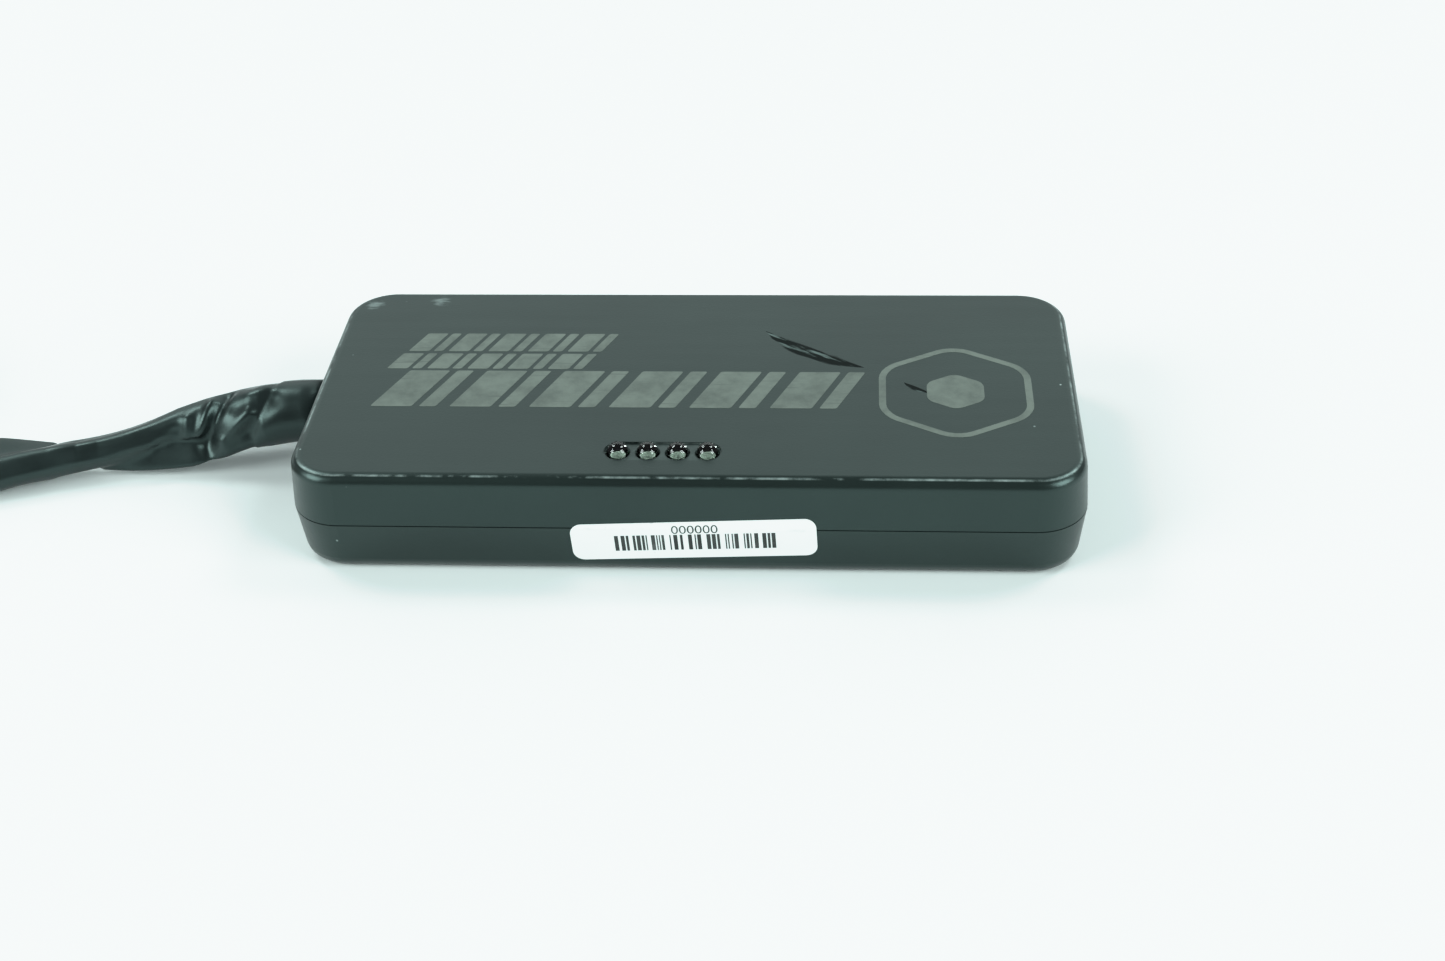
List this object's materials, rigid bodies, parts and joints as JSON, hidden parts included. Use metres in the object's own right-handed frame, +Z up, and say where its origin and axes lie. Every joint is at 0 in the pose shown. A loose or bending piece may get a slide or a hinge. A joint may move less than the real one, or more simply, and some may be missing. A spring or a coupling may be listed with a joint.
{
  "type": "electronic fuel injection tuning module",
  "caption": "Sealed two-shell plastic control box with four status lamps in a shallow recess and a stock label, on a sleeved harness that ends in a sealed plug.",
  "frame": {"origin": "the middle of the case's underside, on the surface that the case rests on", "axes": "+X along the case, away from the harness; +Y across it, away from the labelled wall; +Z up out of the top cover"},
  "size_m": [0.3045, 0.0634, 0.0168],
  "materials": {
    "case_plastic": "satin moulded black ABS, slightly worn",
    "silicone_seal": "soft orange silicone",
    "black_screw": "black oxide steel",
    "steel": "zinc-plated steel",
    "circuit_board": "green solder mask on glass epoxy",
    "chip_resin": "moulded epoxy",
    "chip_ceramic": "fired ceramic",
    "tinned_metal": "tin-plated",
    "can_metal": "drawn can",
    "wire_insulation": "thin-wall PVC insulation, assorted colours",
    "black_rubber": "moulded",
    "nylon_tie": "black nylon",
    "label_paper": "white printed label stock",
    "heat_shrink": "black polyolefin",
    "pvc_sleeve": "crumpled black PVC sleeve",
    "lamp_lens": "clear epoxy lens",
    "plug_nylon": "glass-filled black nylon",
    "wedge_lock_nylon": "orange nylon"
  },
  "bodies": {
    "module": {"top_cover": "case_plastic", "bottom_cover": "case_plastic", "case_gasket": "silicone_seal", "case_screws": "black_screw", "circuit_board": "circuit_board", "board_screws": "steel", "processor": "chip_resin", "processor_pins": "tinned_metal", "crystal": "can_metal", "filter_capacitor_1": "can_metal", "filter_capacitor_2": "can_metal", "surge_diode": "chip_resin", "chip_resistors": "chip_resin", "chip_capacitors": "chip_ceramic", "board_wires": "wire_insulation", "cable_grommet": "black_rubber", "retaining_tie": "nylon_tie", "barcode_label": "label_paper", "entry_sleeve": "heat_shrink", "harness_sleeve": "pvc_sleeve", "harness_hank": "pvc_sleeve", "harness_tail": "pvc_sleeve", "hank_tie": "nylon_tie", "end_sleeve": "heat_shrink", "plug_wires": "wire_insulation", "injector_drivers": "chip_resin", "driver_tabs": "tinned_metal", "voltage_regulator": "chip_resin", "regulator_tab": "tinned_metal", "lamp_1": "lamp_lens", "lamp_2": "lamp_lens", "lamp_3": "lamp_lens", "lamp_4": "lamp_lens", "lamp_leads": "tinned_metal", "plug_housing": "plug_nylon", "plug_face_seal": "silicone_seal", "plug_wire_seal": "silicone_seal", "plug_rear_cap": "plug_nylon", "plug_terminals": "tinned_metal"},
    "latch": {"plug_latch": "plug_nylon"},
    "wedge": {"plug_wedge_lock": "wedge_lock_nylon"}
  },
  "joints": [
    {"name": "latch_hinge", "type": "hinge", "parent": "module", "child": "latch", "pos_m": [-0.1495, 0.003, 0.0152], "axis": [0, -1, 0], "range_deg": [0, 6], "stiffness_Nm_per_rad": 0.02},
    {"name": "wedge_slide", "type": "slide", "parent": "module", "child": "wedge", "axis": [1, 0, 0], "range_m": [0, 0.002]}
  ]
}
